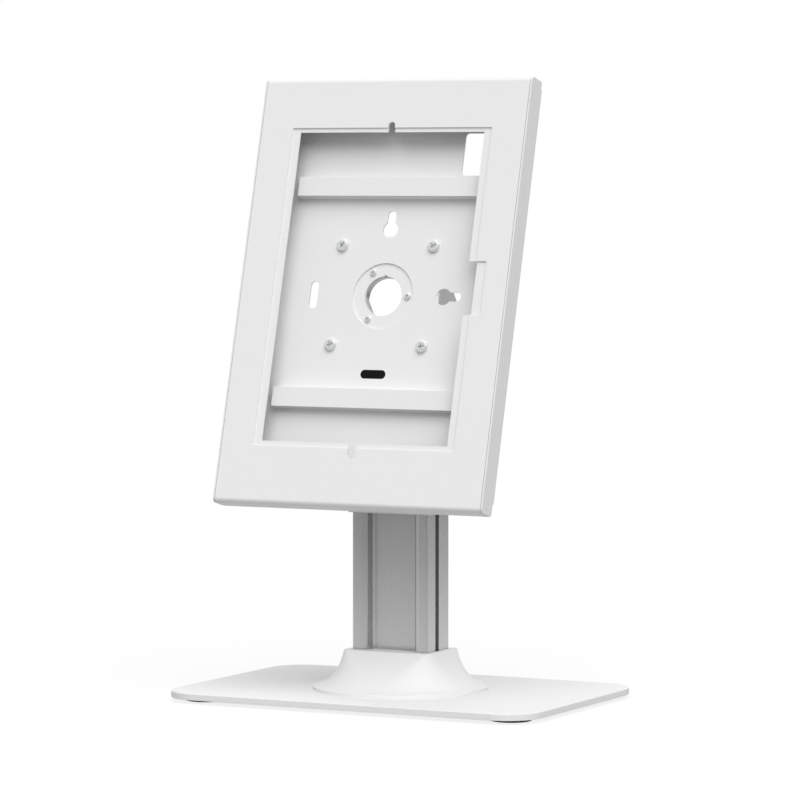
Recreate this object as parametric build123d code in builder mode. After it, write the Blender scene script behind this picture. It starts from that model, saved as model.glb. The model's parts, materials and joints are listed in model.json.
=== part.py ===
from build123d import *
from math import asin, cos, degrees, radians, sin, sqrt
import os

os.makedirs("parts", exist_ok=True)

# Base plate and feet, all lengths in millimetres
base_width = 300.0
base_depth = 200.0
base_thickness = 5.0
base_corner_radius = 28.0
base_edge_radius = 0.8
foot_radius = 15.0
foot_height = 3.0
foot_edge_radius = 0.6
foot_spacing_x = 250.0
foot_spacing_y = 142.0

# Column extrusion
column_width = 62.6
column_depth = 35.0
column_length = 207.0
column_corner_radius = 1.5
recess_width = 37.6
recess_depth = 9.0
recess_lip_radius = 5.4
recess_floor_radius = 2.4
column_core_width = 38.0
column_wall = 2.5
slot_setback = 15.4
slot_opening = 5.6
slot_lip = 2.0
slot_cavity_width = 9.0
slot_cavity_depth = 4.5
port_spacing_x = 51.6
port_spacing_y = 23.5

# Column screws, sunk into the underside of the base plate
column_screw_radius = 3.0
column_screw_length = 24.0
column_screw_head_radius = 6.0
column_screw_head_height = 3.2
column_screw_hex_width = 4.0
column_screw_hex_depth = 2.0

# Column end cap
cap_thickness = 2.5
cap_plug_depth = 8.0

# Collar that covers the foot of the column
collar_height = 29.4
collar_rim_radius = 65.0
collar_rim_height = 2.6
collar_rim_edge_radius = 0.6
collar_top_width = 72.7
collar_top_depth = 48.0
collar_corner_radius = 4.0
collar_straight_share = 0.7
collar_wall = 2.5
collar_top_edge_radius = 1.2
collar_section_shares = (0.0, 0.22, 0.42, 0.58, 0.71, 0.81, 0.89, 0.95, 0.985, 1.0)
least_flat = 0.6

# Height carriage, a folded channel that rides on the column
carriage_sheet = 2.5
carriage_bottom = 139.0
carriage_web_top = 262.0
carriage_shoulder = 235.0
carriage_rear = 9.0
carriage_bend_radius = 3.0
carriage_ear_radius = 15.0
clamp_low = 146.0
clamp_high = 200.0
t_nut_length = 12.0

# Tilt joint
tilt_axis_y = 4.0
tilt_axis_z = 264.0
tilt_angle = 15.0
tilt_upright = 15.0
tilt_back = 45.0
bolt_radius = 4.0
bolt_head_width = 13.0
bolt_head_height = 5.3
bolt_nut_height = 8.0
bolt_tip = 1.6
washer_radius = 8.0
washer_thickness = 1.6
friction_radius = 12.0
friction_thickness = 1.5
spacer_radius = 6.5
stop_arc_radius = 18.0
straight_down = -90.0
m5_radius = 2.5
m5_head_radius = 4.75
m5_head_height = 2.75
m5_hex_width = 3.0
m5_hex_depth = 1.6

# Yoke that carries the turning head
yoke_sheet = 2.0
yoke_height = 76.0
yoke_lobe_radius = 29.0
yoke_bend_radius = 2.6
axis_below_centre = 25.5
axis_behind_front = 59.0

# Turning head on a hollow pivot
pivot_bore_radius = 15.0
hub_radius = 24.0
hub_flange_radius = 29.0
hub_flange_thickness = 2.2
turn_washer_thickness = 0.6
turn_washer_radius = 34.0
turn_range = 90.0
turn_pin_radius = 1.5
turn_pin_circle_radius = 26.6
turn_pin_angle = 90.0
index_notch_radius = 1.0
vesa_spacing = 75.0
vesa_plate_size = 90.0
vesa_plate_thickness = 2.5
vesa_plate_corner = 6.0
hub_screw_circle_radius = 20.2
hub_screw_count = 3
hub_screw_radius = 1.5
hub_screw_head_radius = 2.5
hub_screw_head_height = 1.5
m4_radius = 2.0
m4_head_radius = 4.4
m4_head_height = 2.4
head_dome_share = 0.35
cross_width_share = 0.3
cross_length_share = 1.2
cross_depth_share = 0.55

# Enclosure
sheet = 1.2
enclosure_width = 219.6
enclosure_height = 321.0
enclosure_depth = 19.2
bend_radius = 2.0
back_top = 154.4
back_bottom = -151.0
wall_end_setback = 2.9
wall_end_radius = 2.0
stiffener_width = 208.0
stiffener_front = 9.0
hub_opening_radius = 24.7
sheet_hole_gap = 0.25

# Openings in the back of the enclosure
keyhole_radius = 6.1
keyhole_offset = 49.8
keyhole_end = 64.0
keyhole_width = 6.7
level_slot_offset = 57.0
level_slot_length = 20.6
level_slot_width = 6.6
cable_slot_offset = 58.7
camera_window_width = 40.0
camera_window_height = 32.0
camera_window_x = 72.5
camera_window_y = 106.8
camera_window_radius = 3.0
plug_lip = 1.3
plug_lip_thickness = 1.0
plug_gap = 0.1

# Rails that carry the tablet
rail_length = 154.6
rail_height = 15.4
rail_sheet = 1.0
rail_front = 11.5
rail_spacing = 159.0
rail_centre = 1.1
foam_thickness = 1.5
foam_inset = 0.4

# Front cover
cover_gap = 0.4
cover_bend_radius = 3.5
cover_flange_depth = 16.5
window_width = 164.0
window_top = 122.4
window_bottom = -117.4
window_corner = 0.6
side_notch_depth = 8.3
side_notch_top = 22.6
side_notch_bottom = -17.1
lens_notch_radius = 2.8
lens_notch_rise = 1.6
button_notch_radius = 3.2
button_notch_drop = 4.2
hinge_setback = 13.0
hinge_rise = 4.1
hinge_pin_radius = 1.5
lug_radius = 3.4
cover_screw_spacing = 120.0
cover_screw_depth = 12.5
cover_screw_head_radius = 3.8
cover_screw_head_height = 1.8
cover_screw_hex_width = 2.5
cover_screw_hex_depth = 1.0
cover_screw_pin_radius = 0.5
cover_nut_width = 7.0
cover_nut_height = 3.2
cover_spacer_radius = 4.0
cover_screw_tip = 1.0

# Inner frame behind the cover's window, and its pads
frame_sheet = 1.0
frame_side_margin = 8.2
frame_end_margin = 14.5
frame_window_width = 151.5
frame_window_top = 119.2
frame_window_bottom = -113.6
frame_notch_depth = 6.55
frame_notch_radius = 2.0
frame_stud_radius = 1.5
frame_stud_length = 4.8
frame_stud_inset = 5.0
frame_nut_width = 5.5
frame_nut_height = 2.4
pad_width = 8.0
pad_length = 40.0
pad_height = 7.4
pad_inset = 6.0
pad_spacing_y = 120.0
end_pad_spacing_x = 90.0
end_pad_top = 132.0
end_pad_bottom = -127.0

# Clearances
slide_gap = 0.3
running_gap = 0.06
thread_gap = 0.05
free_gap = 0.3
overrun = 1.0

# Places worked out from the sizes above
base_bottom = foot_height
base_top = base_bottom + base_thickness
column_top = base_top + column_length
column_front = -column_depth / 2
recess_floor = column_front + recess_depth
slot_y = column_front + slot_setback
cavity_inner = column_width / 2 - slot_lip - slot_cavity_depth

carriage_inner = column_width / 2 + slide_gap
carriage_outer = carriage_inner + carriage_sheet
carriage_front = column_front - slide_gap - carriage_sheet
ear_inner = carriage_outer + friction_thickness
ear_outer = ear_inner + yoke_sheet

back_inner = enclosure_depth - sheet
vesa_rear = enclosure_depth + vesa_plate_thickness
yoke_front = vesa_rear + turn_washer_thickness
yoke_rear = yoke_front + yoke_sheet
hub_rear = yoke_rear + hub_flange_thickness

wall_inner = enclosure_width / 2 - sheet
cover_half = wall_inner - cover_gap
cover_half_height = enclosure_height / 2
hinge_v = -cover_half_height + hinge_rise
hinge_pin_end = cover_half - 2 * sheet
frame_rear = sheet + frame_sheet
frame_width = 2 * (cover_half - frame_side_margin)
frame_height = 2 * (cover_half_height - frame_end_margin)

# Working planes. The panel plane lies on the cover's face and looks out of it.
tilt = radians(tilt_angle)
outward = Vector(0, -cos(tilt), sin(tilt))
upward = Vector(0, sin(tilt), cos(tilt))
tilt_axis = Vector(0, tilt_axis_y, tilt_axis_z)
panel_centre = tilt_axis + outward * axis_behind_front + upward * axis_below_centre
panel = Plane(origin=panel_centre, x_dir=(1, 0, 0), z_dir=outward)
panel_side = Plane(origin=panel_centre, x_dir=-outward, z_dir=(1, 0, 0))
panel_section = Plane(origin=panel_centre, x_dir=(1, 0, 0), z_dir=upward)

UPRIGHT = (Align.CENTER, Align.CENTER, Align.MIN)


def at_depth(depth):
    """The plane this far behind the cover's face."""
    return panel.offset(-depth)


def save(builder, name):
    builder.part.label = name
    export_step(builder.part, f"parts/{name}.step")


# Base
with BuildPart() as base_plate:
    with BuildSketch(Plane.XY.offset(base_bottom)):
        RectangleRounded(base_width, base_depth, base_corner_radius)
    extrude(amount=base_thickness)
    fillet(base_plate.faces().sort_by(Axis.Z)[-1].edges(), base_edge_radius)
    with Locations(Plane.XY.offset(base_bottom)):
        with GridLocations(port_spacing_x, port_spacing_y, 2, 2):
            Cylinder(
                column_screw_radius + sheet_hole_gap,
                base_thickness,
                align=UPRIGHT,
                mode=Mode.SUBTRACT,
            )
            Cone(
                column_screw_head_radius + sheet_hole_gap,
                column_screw_radius + sheet_hole_gap,
                column_screw_head_height,
                align=UPRIGHT,
                mode=Mode.SUBTRACT,
            )
save(base_plate, "base_plate")

with BuildPart() as rubber_feet:
    with BuildSketch():
        with GridLocations(foot_spacing_x, foot_spacing_y, 2, 2):
            Circle(foot_radius)
    extrude(amount=foot_height)
    fillet(rubber_feet.edges().group_by(Axis.Z)[0], foot_edge_radius)
save(rubber_feet, "rubber_feet")


# Column
def column_outline(gap):
    """Outside of the extrusion with its front recess, grown by a gap."""
    with BuildSketch() as outline:
        Rectangle(column_width + 2 * gap, column_depth + 2 * gap)
        fillet(outline.vertices(), column_corner_radius + gap)
        with Locations((0, column_front - gap)):
            Rectangle(recess_width - 2 * gap, 2 * recess_depth, mode=Mode.SUBTRACT)
        corners = outline.vertices().filter_by(lambda v: abs(v.X) < recess_width / 2 + overrun / 2)
        fillet(corners.group_by(Axis.Y)[0], recess_lip_radius)
        floor = outline.vertices().filter_by(lambda v: abs(v.X) < recess_width / 2 + overrun / 2)
        fillet(floor.group_by(Axis.Y)[-1], recess_floor_radius)
    return outline.sketch


column_profile = column_outline(0)
collar_hole = column_outline(slide_gap)
core_depth = column_depth - recess_depth - 2 * column_wall

with BuildPart() as column:
    with BuildSketch(Plane.XY.offset(base_top)):
        add(column_profile)
        with Locations((0, recess_floor + column_wall + core_depth / 2)):
            Rectangle(column_core_width, core_depth, mode=Mode.SUBTRACT)
        for side in (-1, 1):
            with Locations((side * column_width / 2, slot_y)):
                Rectangle(2 * slot_lip, slot_opening, mode=Mode.SUBTRACT)
            with Locations((side * (cavity_inner + slot_cavity_depth / 2), slot_y)):
                Rectangle(slot_cavity_depth, slot_cavity_width, mode=Mode.SUBTRACT)
        with GridLocations(port_spacing_x, port_spacing_y, 2, 2):
            Circle(column_screw_radius + thread_gap, mode=Mode.SUBTRACT)
    extrude(amount=column_length)
save(column, "column")

with BuildPart() as column_screws:
    with Locations(Plane.XY.offset(base_bottom)):
        with GridLocations(port_spacing_x, port_spacing_y, 2, 2):
            Cylinder(column_screw_radius, column_screw_length, align=UPRIGHT)
            Cone(
                column_screw_head_radius,
                column_screw_radius,
                column_screw_head_height,
                align=UPRIGHT,
            )
    with BuildSketch(Plane.XY.offset(base_bottom)):
        with GridLocations(port_spacing_x, port_spacing_y, 2, 2):
            RegularPolygon(column_screw_hex_width / 2, side_count=6, major_radius=False)
    extrude(amount=column_screw_hex_depth, mode=Mode.SUBTRACT)
save(column_screws, "column_screws")

with BuildPart() as column_cap:
    with BuildSketch(Plane.XY.offset(column_top)):
        add(column_profile)
    extrude(amount=cap_thickness)
    with BuildSketch(Plane.XY.offset(column_top)):
        with Locations((0, recess_floor + column_wall + core_depth / 2)):
            Rectangle(column_core_width - 2 * slide_gap, core_depth - 2 * slide_gap)
    extrude(amount=-cap_plug_depth)
save(column_cap, "column_cap")


# Collar. Its section grows from a rounded rectangle into the round rim. The flats shrink evenly
# on the way down, and the corners' radius grows partly evenly and partly on a quarter ellipse.
flare_radius = collar_rim_radius - collar_rim_edge_radius


def collar_section(share, inset):
    """Width, depth and corner radius of the flare, from its top at 0 to its rim at 1."""
    curved_share = (1 - collar_straight_share) * (1 - sqrt(1 - share * share))
    spread = collar_straight_share * share + curved_share
    flat_width = (collar_top_width / 2 - collar_corner_radius - least_flat) * (1 - share)
    flat_depth = (collar_top_depth / 2 - collar_corner_radius - least_flat) * (1 - share)
    growth = (flare_radius - least_flat - collar_corner_radius) * spread
    radius = collar_corner_radius + growth
    half_width = radius + least_flat + flat_width
    half_depth = radius + least_flat + flat_depth
    return 2 * (half_width - inset), 2 * (half_depth - inset), radius - inset


def collar_flare(inset):
    """Solid flare between the collar's rim and its top, drawn in by an inset."""
    flare_height = collar_height - collar_rim_height
    with BuildPart() as flare:
        for share in collar_section_shares:
            width, depth, radius = collar_section(share, inset)
            height = base_top + collar_height - inset - flare_height * share
            with BuildSketch(Plane.XY.offset(height)):
                RectangleRounded(width, depth, radius)
        loft(ruled=True)
    return flare.part


outer_flare = collar_flare(0)
inner_flare = collar_flare(collar_wall)

with BuildPart() as collar:
    with BuildSketch(Plane.XY.offset(base_top)):
        Circle(collar_rim_radius)
    extrude(amount=collar_rim_height)
    fillet(collar.edges().group_by(Axis.Z)[-1], collar_rim_edge_radius)
    add(outer_flare)
    fillet(collar.faces().sort_by(Axis.Z)[-1].edges(), collar_top_edge_radius)
    with BuildSketch(Plane.XY.offset(base_top)):
        Circle(flare_radius - collar_wall)
    extrude(amount=collar_rim_height - collar_wall, mode=Mode.SUBTRACT)
    add(inner_flare, mode=Mode.SUBTRACT)
    with BuildSketch(Plane.XY.offset(base_top)):
        add(collar_hole)
    extrude(amount=collar_height + overrun, mode=Mode.SUBTRACT)
save(collar, "collar")


# Height carriage
def hull_outline(circle_centre, circle_radius, corners):
    """The straight-sided outline drawn tight around a circle and some corners."""
    with BuildSketch() as outline:
        with BuildLine():
            CenterArc(circle_centre, circle_radius, 0, 360)
            Polyline(*corners, close=True)
        make_hull()
    return outline.sketch


def folded_channel(half_width, wall, bend, reach, front):
    """Section of a channel whose web lies at the front and whose legs reach back."""
    with BuildSketch() as inside:
        with Locations((0, front + wall + reach / 2)):
            Rectangle(2 * (half_width - wall), reach)
        fillet(inside.vertices().group_by(Axis.Y)[0], bend - wall)
    with BuildSketch() as section:
        with Locations((0, front + reach / 2)):
            Rectangle(2 * half_width, reach)
        fillet(section.vertices().group_by(Axis.Y)[0], bend)
        add(inside.sketch, mode=Mode.SUBTRACT)
    return section.sketch


carriage_reach = tilt_axis_y + carriage_ear_radius - carriage_front
carriage_top = tilt_axis_z + carriage_ear_radius
carriage_section = folded_channel(
    carriage_outer, carriage_sheet, carriage_bend_radius, carriage_reach, carriage_front
)
carriage_side = hull_outline(
    (tilt_axis_y, tilt_axis_z),
    carriage_ear_radius,
    (
        (carriage_front, carriage_bottom),
        (carriage_rear, carriage_bottom),
        (carriage_rear, carriage_shoulder),
        (carriage_front, carriage_web_top),
    ),
)

with BuildPart() as carriage:
    with BuildSketch(Plane.XY.offset(carriage_bottom)):
        add(carriage_section)
    extrude(amount=carriage_top - carriage_bottom)
    with BuildSketch(Plane.YZ):
        add(carriage_side)
    extrude(amount=carriage_outer + overrun, both=True, mode=Mode.INTERSECT)
    with BuildSketch(Plane.YZ):
        with Locations((tilt_axis_y, tilt_axis_z)):
            Circle(bolt_radius + thread_gap)
        with Locations((tilt_axis_y, tilt_axis_z - stop_arc_radius)):
            Circle(m5_radius + thread_gap)
        with Locations((slot_y, clamp_low), (slot_y, clamp_high)):
            Circle(m5_radius + thread_gap)
    extrude(amount=carriage_outer + overrun, both=True, mode=Mode.SUBTRACT)
save(carriage, "carriage")


def side_screw(y, z, face, length):
    """Button-head screw along X with its head on the face at this distance from the middle."""
    with BuildPart(Plane.YZ.offset(face)) as screw:
        with Locations((y, z)):
            Cylinder(m5_head_radius, m5_head_height, align=UPRIGHT)
        fillet(screw.edges().group_by(Axis.X)[-1], m5_head_height / 2)
        with Locations((y, z, -length)):
            Cylinder(m5_radius, length, align=UPRIGHT)
        with BuildSketch(Plane.YZ.offset(face + m5_head_height)):
            with Locations((y, z)):
                RegularPolygon(m5_hex_width / 2, side_count=6, major_radius=False)
        extrude(amount=-m5_hex_depth, mode=Mode.SUBTRACT)
    return screw.part


nut_outer = column_width / 2 - slot_lip - thread_gap
nut_inner = cavity_inner + free_gap
clamp_length = carriage_outer - nut_inner
clamp_screw_parts = [side_screw(slot_y, z, carriage_outer, clamp_length) for z in (clamp_low, clamp_high)]

with BuildPart() as clamp_screws:
    add(clamp_screw_parts)
    mirror(about=Plane.YZ)
save(clamp_screws, "clamp_screws")

with BuildPart() as t_nuts:
    with BuildSketch(Plane.YZ.offset(nut_inner)):
        with Locations((slot_y, clamp_low), (slot_y, clamp_high)):
            Rectangle(slot_cavity_width - 2 * free_gap, t_nut_length)
            Circle(m5_radius + thread_gap, mode=Mode.SUBTRACT)
    extrude(amount=nut_outer - nut_inner)
    mirror(about=Plane.YZ)
save(t_nuts, "t_nuts")


# Tilt joint. The bolt stands across the carriage, and the yoke turns on it.
washer_outer = ear_outer + washer_thickness
nut_end = washer_outer + bolt_nut_height
bolt_end = nut_end + bolt_tip

with BuildPart() as tilt_bolt:
    with BuildSketch(Plane.YZ.offset(-washer_outer)):
        with Locations((tilt_axis_y, tilt_axis_z)):
            Circle(bolt_radius)
    extrude(amount=washer_outer + bolt_end)
    with BuildSketch(Plane.YZ.offset(-washer_outer)):
        with Locations((tilt_axis_y, tilt_axis_z)):
            RegularPolygon(bolt_head_width / 2, side_count=6, major_radius=False)
    extrude(amount=-bolt_head_height)
save(tilt_bolt, "tilt_bolt")

with BuildPart() as tilt_nut:
    with BuildSketch(Plane.YZ.offset(washer_outer)):
        with Locations((tilt_axis_y, tilt_axis_z)):
            RegularPolygon(bolt_head_width / 2, side_count=6, major_radius=False)
    extrude(amount=bolt_nut_height)
    with BuildSketch(Plane.YZ.offset(washer_outer)):
        with Locations((tilt_axis_y, tilt_axis_z)):
            Circle(bolt_radius + thread_gap)
    extrude(amount=bolt_nut_height, mode=Mode.SUBTRACT)
save(tilt_nut, "tilt_nut")


def washer_pair(face, thickness, radius):
    """Two rings on the tilt bolt, one on each side of the stand."""
    with BuildPart() as rings:
        with BuildSketch(Plane.YZ.offset(face)):
            with Locations((tilt_axis_y, tilt_axis_z)):
                Circle(radius)
                Circle(bolt_radius + running_gap, mode=Mode.SUBTRACT)
        extrude(amount=thickness)
        mirror(about=Plane.YZ)
    return rings


tilt_washers = washer_pair(ear_outer, washer_thickness, washer_radius)
save(tilt_washers, "tilt_washers")

friction_washers = washer_pair(carriage_outer, friction_thickness, friction_radius)
save(friction_washers, "friction_washers")

with BuildPart() as spacer_tube:
    with BuildSketch(Plane.YZ):
        with Locations((tilt_axis_y, tilt_axis_z)):
            Circle(spacer_radius)
            Circle(bolt_radius + thread_gap, mode=Mode.SUBTRACT)
    extrude(amount=carriage_inner, both=True)
save(spacer_tube, "spacer_tube")

stop_screw = side_screw(tilt_axis_y, tilt_axis_z - stop_arc_radius, ear_outer, ear_outer - carriage_inner)

with BuildPart() as stop_screws:
    add(stop_screw)
    mirror(about=Plane.YZ)
save(stop_screws, "stop_screws")


# Yoke, folded from one sheet: a front plate with the hub's hole and two ears
yoke_reach = axis_behind_front + yoke_lobe_radius - yoke_front
yoke_section = folded_channel(ear_outer, yoke_sheet, yoke_bend_radius, yoke_reach, yoke_front)
yoke_side = hull_outline(
    (axis_behind_front, -axis_below_centre),
    yoke_lobe_radius,
    (
        (yoke_front, -yoke_height / 2),
        (yoke_rear, -yoke_height / 2),
        (yoke_rear, yoke_height / 2),
        (yoke_front, yoke_height / 2),
    ),
)
stop_slot = CenterArc(
    (axis_behind_front, -axis_below_centre),
    stop_arc_radius,
    straight_down + tilt_angle - tilt_upright,
    tilt_upright + tilt_back,
)

with BuildPart() as tilt_yoke:
    with BuildSketch(panel_section.offset(-yoke_reach)):
        add(yoke_section)
    extrude(amount=2 * yoke_reach)
    with BuildSketch(panel_side):
        add(yoke_side)
    extrude(amount=ear_outer + overrun, both=True, mode=Mode.INTERSECT)
    with BuildSketch(panel_side):
        with Locations((axis_behind_front, -axis_below_centre)):
            Circle(bolt_radius + running_gap)
        SlotArc(stop_slot, 2 * (m5_radius + free_gap))
    extrude(amount=ear_outer + overrun, both=True, mode=Mode.SUBTRACT)
    with BuildSketch(at_depth(yoke_rear)):
        Circle(hub_radius + running_gap)
        with PolarLocations(turn_pin_circle_radius, 1, start_angle=turn_pin_angle):
            Circle(turn_pin_radius + thread_gap)
    extrude(amount=yoke_sheet + overrun, mode=Mode.SUBTRACT)
save(tilt_yoke, "tilt_yoke")

with BuildPart() as turn_washer:
    with BuildSketch(at_depth(yoke_front)):
        Circle(turn_washer_radius)
        Circle(hub_radius + free_gap, mode=Mode.SUBTRACT)
    extrude(amount=turn_washer_thickness)
save(turn_washer, "turn_washer")

with BuildPart() as turn_stop_pin:
    with BuildSketch(at_depth(hub_rear)):
        with PolarLocations(turn_pin_circle_radius, 1, start_angle=turn_pin_angle):
            Circle(turn_pin_radius)
    extrude(amount=hub_rear - yoke_front)
save(turn_stop_pin, "turn_stop_pin")


# Hollow hub. Its flange is cut away over the turn that the stop pin allows.
notch_margin = degrees(asin((turn_pin_radius + free_gap) / turn_pin_circle_radius))
notch_start = turn_pin_angle - turn_range - notch_margin

with BuildPart() as pivot_hub:
    with BuildSketch(at_depth(yoke_rear)):
        Circle(hub_radius)
    extrude(amount=yoke_rear - vesa_rear)
    with BuildSketch(at_depth(hub_rear)):
        Circle(hub_flange_radius)
        with BuildLine():
            sector_arc = CenterArc(
                (0, 0), 2 * hub_flange_radius, notch_start, turn_range + 2 * notch_margin
            )
            Line(sector_arc @ 1, (0, 0))
            Line((0, 0), sector_arc @ 0)
        make_face(mode=Mode.SUBTRACT)
        Circle(hub_radius)
    extrude(amount=hub_flange_thickness)
    with BuildSketch(at_depth(hub_rear)):
        Circle(pivot_bore_radius)
        with PolarLocations(hub_screw_circle_radius, hub_screw_count):
            Circle(hub_screw_radius + thread_gap)
    extrude(amount=hub_rear, mode=Mode.SUBTRACT)
save(pivot_hub, "pivot_hub")

with BuildPart() as vesa_plate:
    with BuildSketch(at_depth(vesa_rear)):
        RectangleRounded(vesa_plate_size, vesa_plate_size, vesa_plate_corner)
        Circle(pivot_bore_radius, mode=Mode.SUBTRACT)
        with Locations((0, pivot_bore_radius)):
            Circle(index_notch_radius, mode=Mode.SUBTRACT)
        with GridLocations(vesa_spacing, vesa_spacing, 2, 2):
            Circle(m4_radius + thread_gap, mode=Mode.SUBTRACT)
        with PolarLocations(hub_screw_circle_radius, hub_screw_count):
            Circle(hub_screw_radius + thread_gap, mode=Mode.SUBTRACT)
    extrude(amount=vesa_plate_thickness)
save(vesa_plate, "vesa_plate")


def cross_head_screws(places, face, head_radius, head_height, shank_radius, length):
    """Screws with domed heads and cross recesses, driven in from the front."""
    dome = head_height * head_dome_share
    bar_length = head_radius * cross_length_share
    bar_width = head_radius * cross_width_share
    with BuildPart() as screws:
        with BuildSketch(at_depth(face)):
            with places:
                Circle(head_radius)
        extrude(amount=head_height)
        rim = screws.edges().filter_by(GeomType.CIRCLE).group_by(Axis(panel_centre, outward))[-1]
        fillet(rim, dome)
        with BuildSketch(at_depth(face)):
            with places:
                Circle(shank_radius)
        extrude(amount=-length)
        with BuildSketch(at_depth(face - head_height)):
            with places:
                Rectangle(bar_length, bar_width)
                Rectangle(bar_width, bar_length)
        extrude(amount=-head_height * cross_depth_share, mode=Mode.SUBTRACT)
    return screws


hub_screws = cross_head_screws(
    PolarLocations(hub_screw_circle_radius, hub_screw_count),
    enclosure_depth,
    hub_screw_head_radius,
    hub_screw_head_height,
    hub_screw_radius,
    hub_rear - enclosure_depth,
)
save(hub_screws, "hub_screws")

vesa_screws = cross_head_screws(
    GridLocations(vesa_spacing, vesa_spacing, 2, 2),
    back_inner,
    m4_head_radius,
    m4_head_height,
    m4_radius,
    vesa_rear - back_inner,
)
save(vesa_screws, "vesa_screws")


# Enclosure back, folded from one sheet: two side walls, and a stiffener at each end
back_height = back_top - back_bottom
tray_section = Rot(0, 0, 180) * folded_channel(
    enclosure_width / 2, sheet, bend_radius, enclosure_depth, -enclosure_depth
)
wall_depth = enclosure_depth - wall_end_setback

with BuildSketch() as wall_outline:
    with Locations((wall_depth / 2, 0)):
        Rectangle(wall_depth, enclosure_height)
    fillet(wall_outline.vertices().group_by(Axis.X)[0], cover_bend_radius)
    fillet(wall_outline.vertices().group_by(Axis.X)[-1], wall_end_radius)

with BuildPart() as back_housing:
    with BuildSketch(panel_section.offset(back_bottom)):
        add(tray_section)
    extrude(amount=back_height)
    for side in (-1, 1):
        with BuildSketch(panel_side.offset(side * (wall_inner + sheet / 2))):
            add(wall_outline.sketch)
        extrude(amount=sheet / 2, both=True)
    for flange_v in (back_top - sheet, back_bottom):
        with BuildSketch(panel_section.offset(flange_v)):
            with Locations((0, (stiffener_front + enclosure_depth) / 2)):
                Rectangle(stiffener_width, enclosure_depth - stiffener_front)
        extrude(amount=sheet)
    with BuildSketch(at_depth(enclosure_depth)):
        Circle(hub_opening_radius)
        with GridLocations(vesa_spacing, vesa_spacing, 2, 2):
            Circle(m4_radius + sheet_hole_gap)
        for turn in (0, 90):
            hole = Rot(0, 0, turn) * Location((keyhole_offset, 0))
            with Locations(hole):
                Circle(keyhole_radius)
            slot_length = keyhole_end - keyhole_offset + keyhole_width / 2
            with Locations(Rot(0, 0, turn) * Location((keyhole_end - slot_length / 2, 0))):
                SlotOverall(slot_length, keyhole_width)
        for turn, offset in ((180, level_slot_offset), (270, cable_slot_offset)):
            with Locations(Rot(0, 0, turn) * Location((offset, 0, 0), (0, 0, 90))):
                SlotOverall(level_slot_length, level_slot_width)
        with Locations((camera_window_x, camera_window_y)):
            RectangleRounded(camera_window_width, camera_window_height, camera_window_radius)
    extrude(amount=sheet, mode=Mode.SUBTRACT)
    with BuildSketch(panel_section.offset(back_top - sheet)):
        for side in (-1, 1):
            with Locations((side * cover_screw_spacing / 2, cover_screw_depth)):
                Circle(m4_radius + free_gap)
            with Locations((side * cover_screw_spacing / 2, (cover_screw_depth + stiffener_front) / 2)):
                Rectangle(2 * (m4_radius + free_gap), cover_screw_depth - stiffener_front)
    extrude(amount=sheet, mode=Mode.SUBTRACT)
    for side in (-1, 1):
        with BuildSketch(panel_side.offset(side * hinge_pin_end)):
            with Locations((hinge_setback, hinge_v)):
                Circle(hinge_pin_radius)
        extrude(amount=side * (wall_inner + sheet / 2 - hinge_pin_end))
save(back_housing, "back_housing")


# Rails: shallow channels welded to the back, with foam on their faces
def rail(centre_v):
    with BuildPart() as channel:
        with BuildSketch(panel_side):
            with Locations(((rail_front + back_inner) / 2, centre_v)):
                Rectangle(back_inner - rail_front, rail_height)
            inner_depth = back_inner - rail_front - rail_sheet
            with Locations((back_inner - inner_depth / 2, centre_v)):
                Rectangle(inner_depth, rail_height - 2 * rail_sheet, mode=Mode.SUBTRACT)
        extrude(amount=rail_length / 2, both=True)
    return channel


rail_upper = rail(rail_centre + rail_spacing / 2)
save(rail_upper, "rail_upper")
rail_lower = rail(rail_centre - rail_spacing / 2)
save(rail_lower, "rail_lower")

with BuildPart() as rail_foam:
    with BuildSketch(at_depth(rail_front)):
        with Locations((0, rail_centre)):
            with GridLocations(0, rail_spacing, 1, 2):
                Rectangle(rail_length - 2 * foam_inset, rail_height - 2 * foam_inset)
    extrude(amount=foam_thickness)
save(rail_foam, "rail_foam")

with BuildPart() as slot_plug:
    with BuildSketch(at_depth(enclosure_depth + plug_lip_thickness)):
        with Locations((0, -cable_slot_offset)):
            SlotOverall(level_slot_length + 2 * plug_lip, level_slot_width + 2 * plug_lip)
    extrude(amount=plug_lip_thickness)
    with BuildSketch(at_depth(enclosure_depth)):
        with Locations((0, -cable_slot_offset)):
            SlotOverall(level_slot_length - 2 * plug_gap, level_slot_width - 2 * plug_gap)
    extrude(amount=sheet)
save(slot_plug, "slot_plug")


# Front cover, folded from one sheet, with a hinge lug at each lower corner
def window_outline(width, top, bottom, corner):
    """Window with notches for a lens and a button at the middle of its ends."""
    with BuildSketch() as outline:
        with Locations((0, (top + bottom) / 2)):
            RectangleRounded(width, top - bottom, corner)
        for end, radius in (
            (window_top + lens_notch_rise, lens_notch_radius),
            (window_bottom - button_notch_drop, button_notch_radius),
        ):
            with Locations((0, end)):
                Circle(radius)
            with Locations((0, end / 2)):
                Rectangle(2 * radius, abs(end))
    return outline.sketch


def side_notch(width, depth, corner):
    """Notch that widens a window of this width on its right side."""
    notch_height = side_notch_top - side_notch_bottom
    with BuildSketch() as outline:
        with Locations((width / 2 + depth / 2 - corner, side_notch_bottom + notch_height / 2)):
            RectangleRounded(depth + 2 * corner, notch_height, corner)
    return outline.sketch


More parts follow.
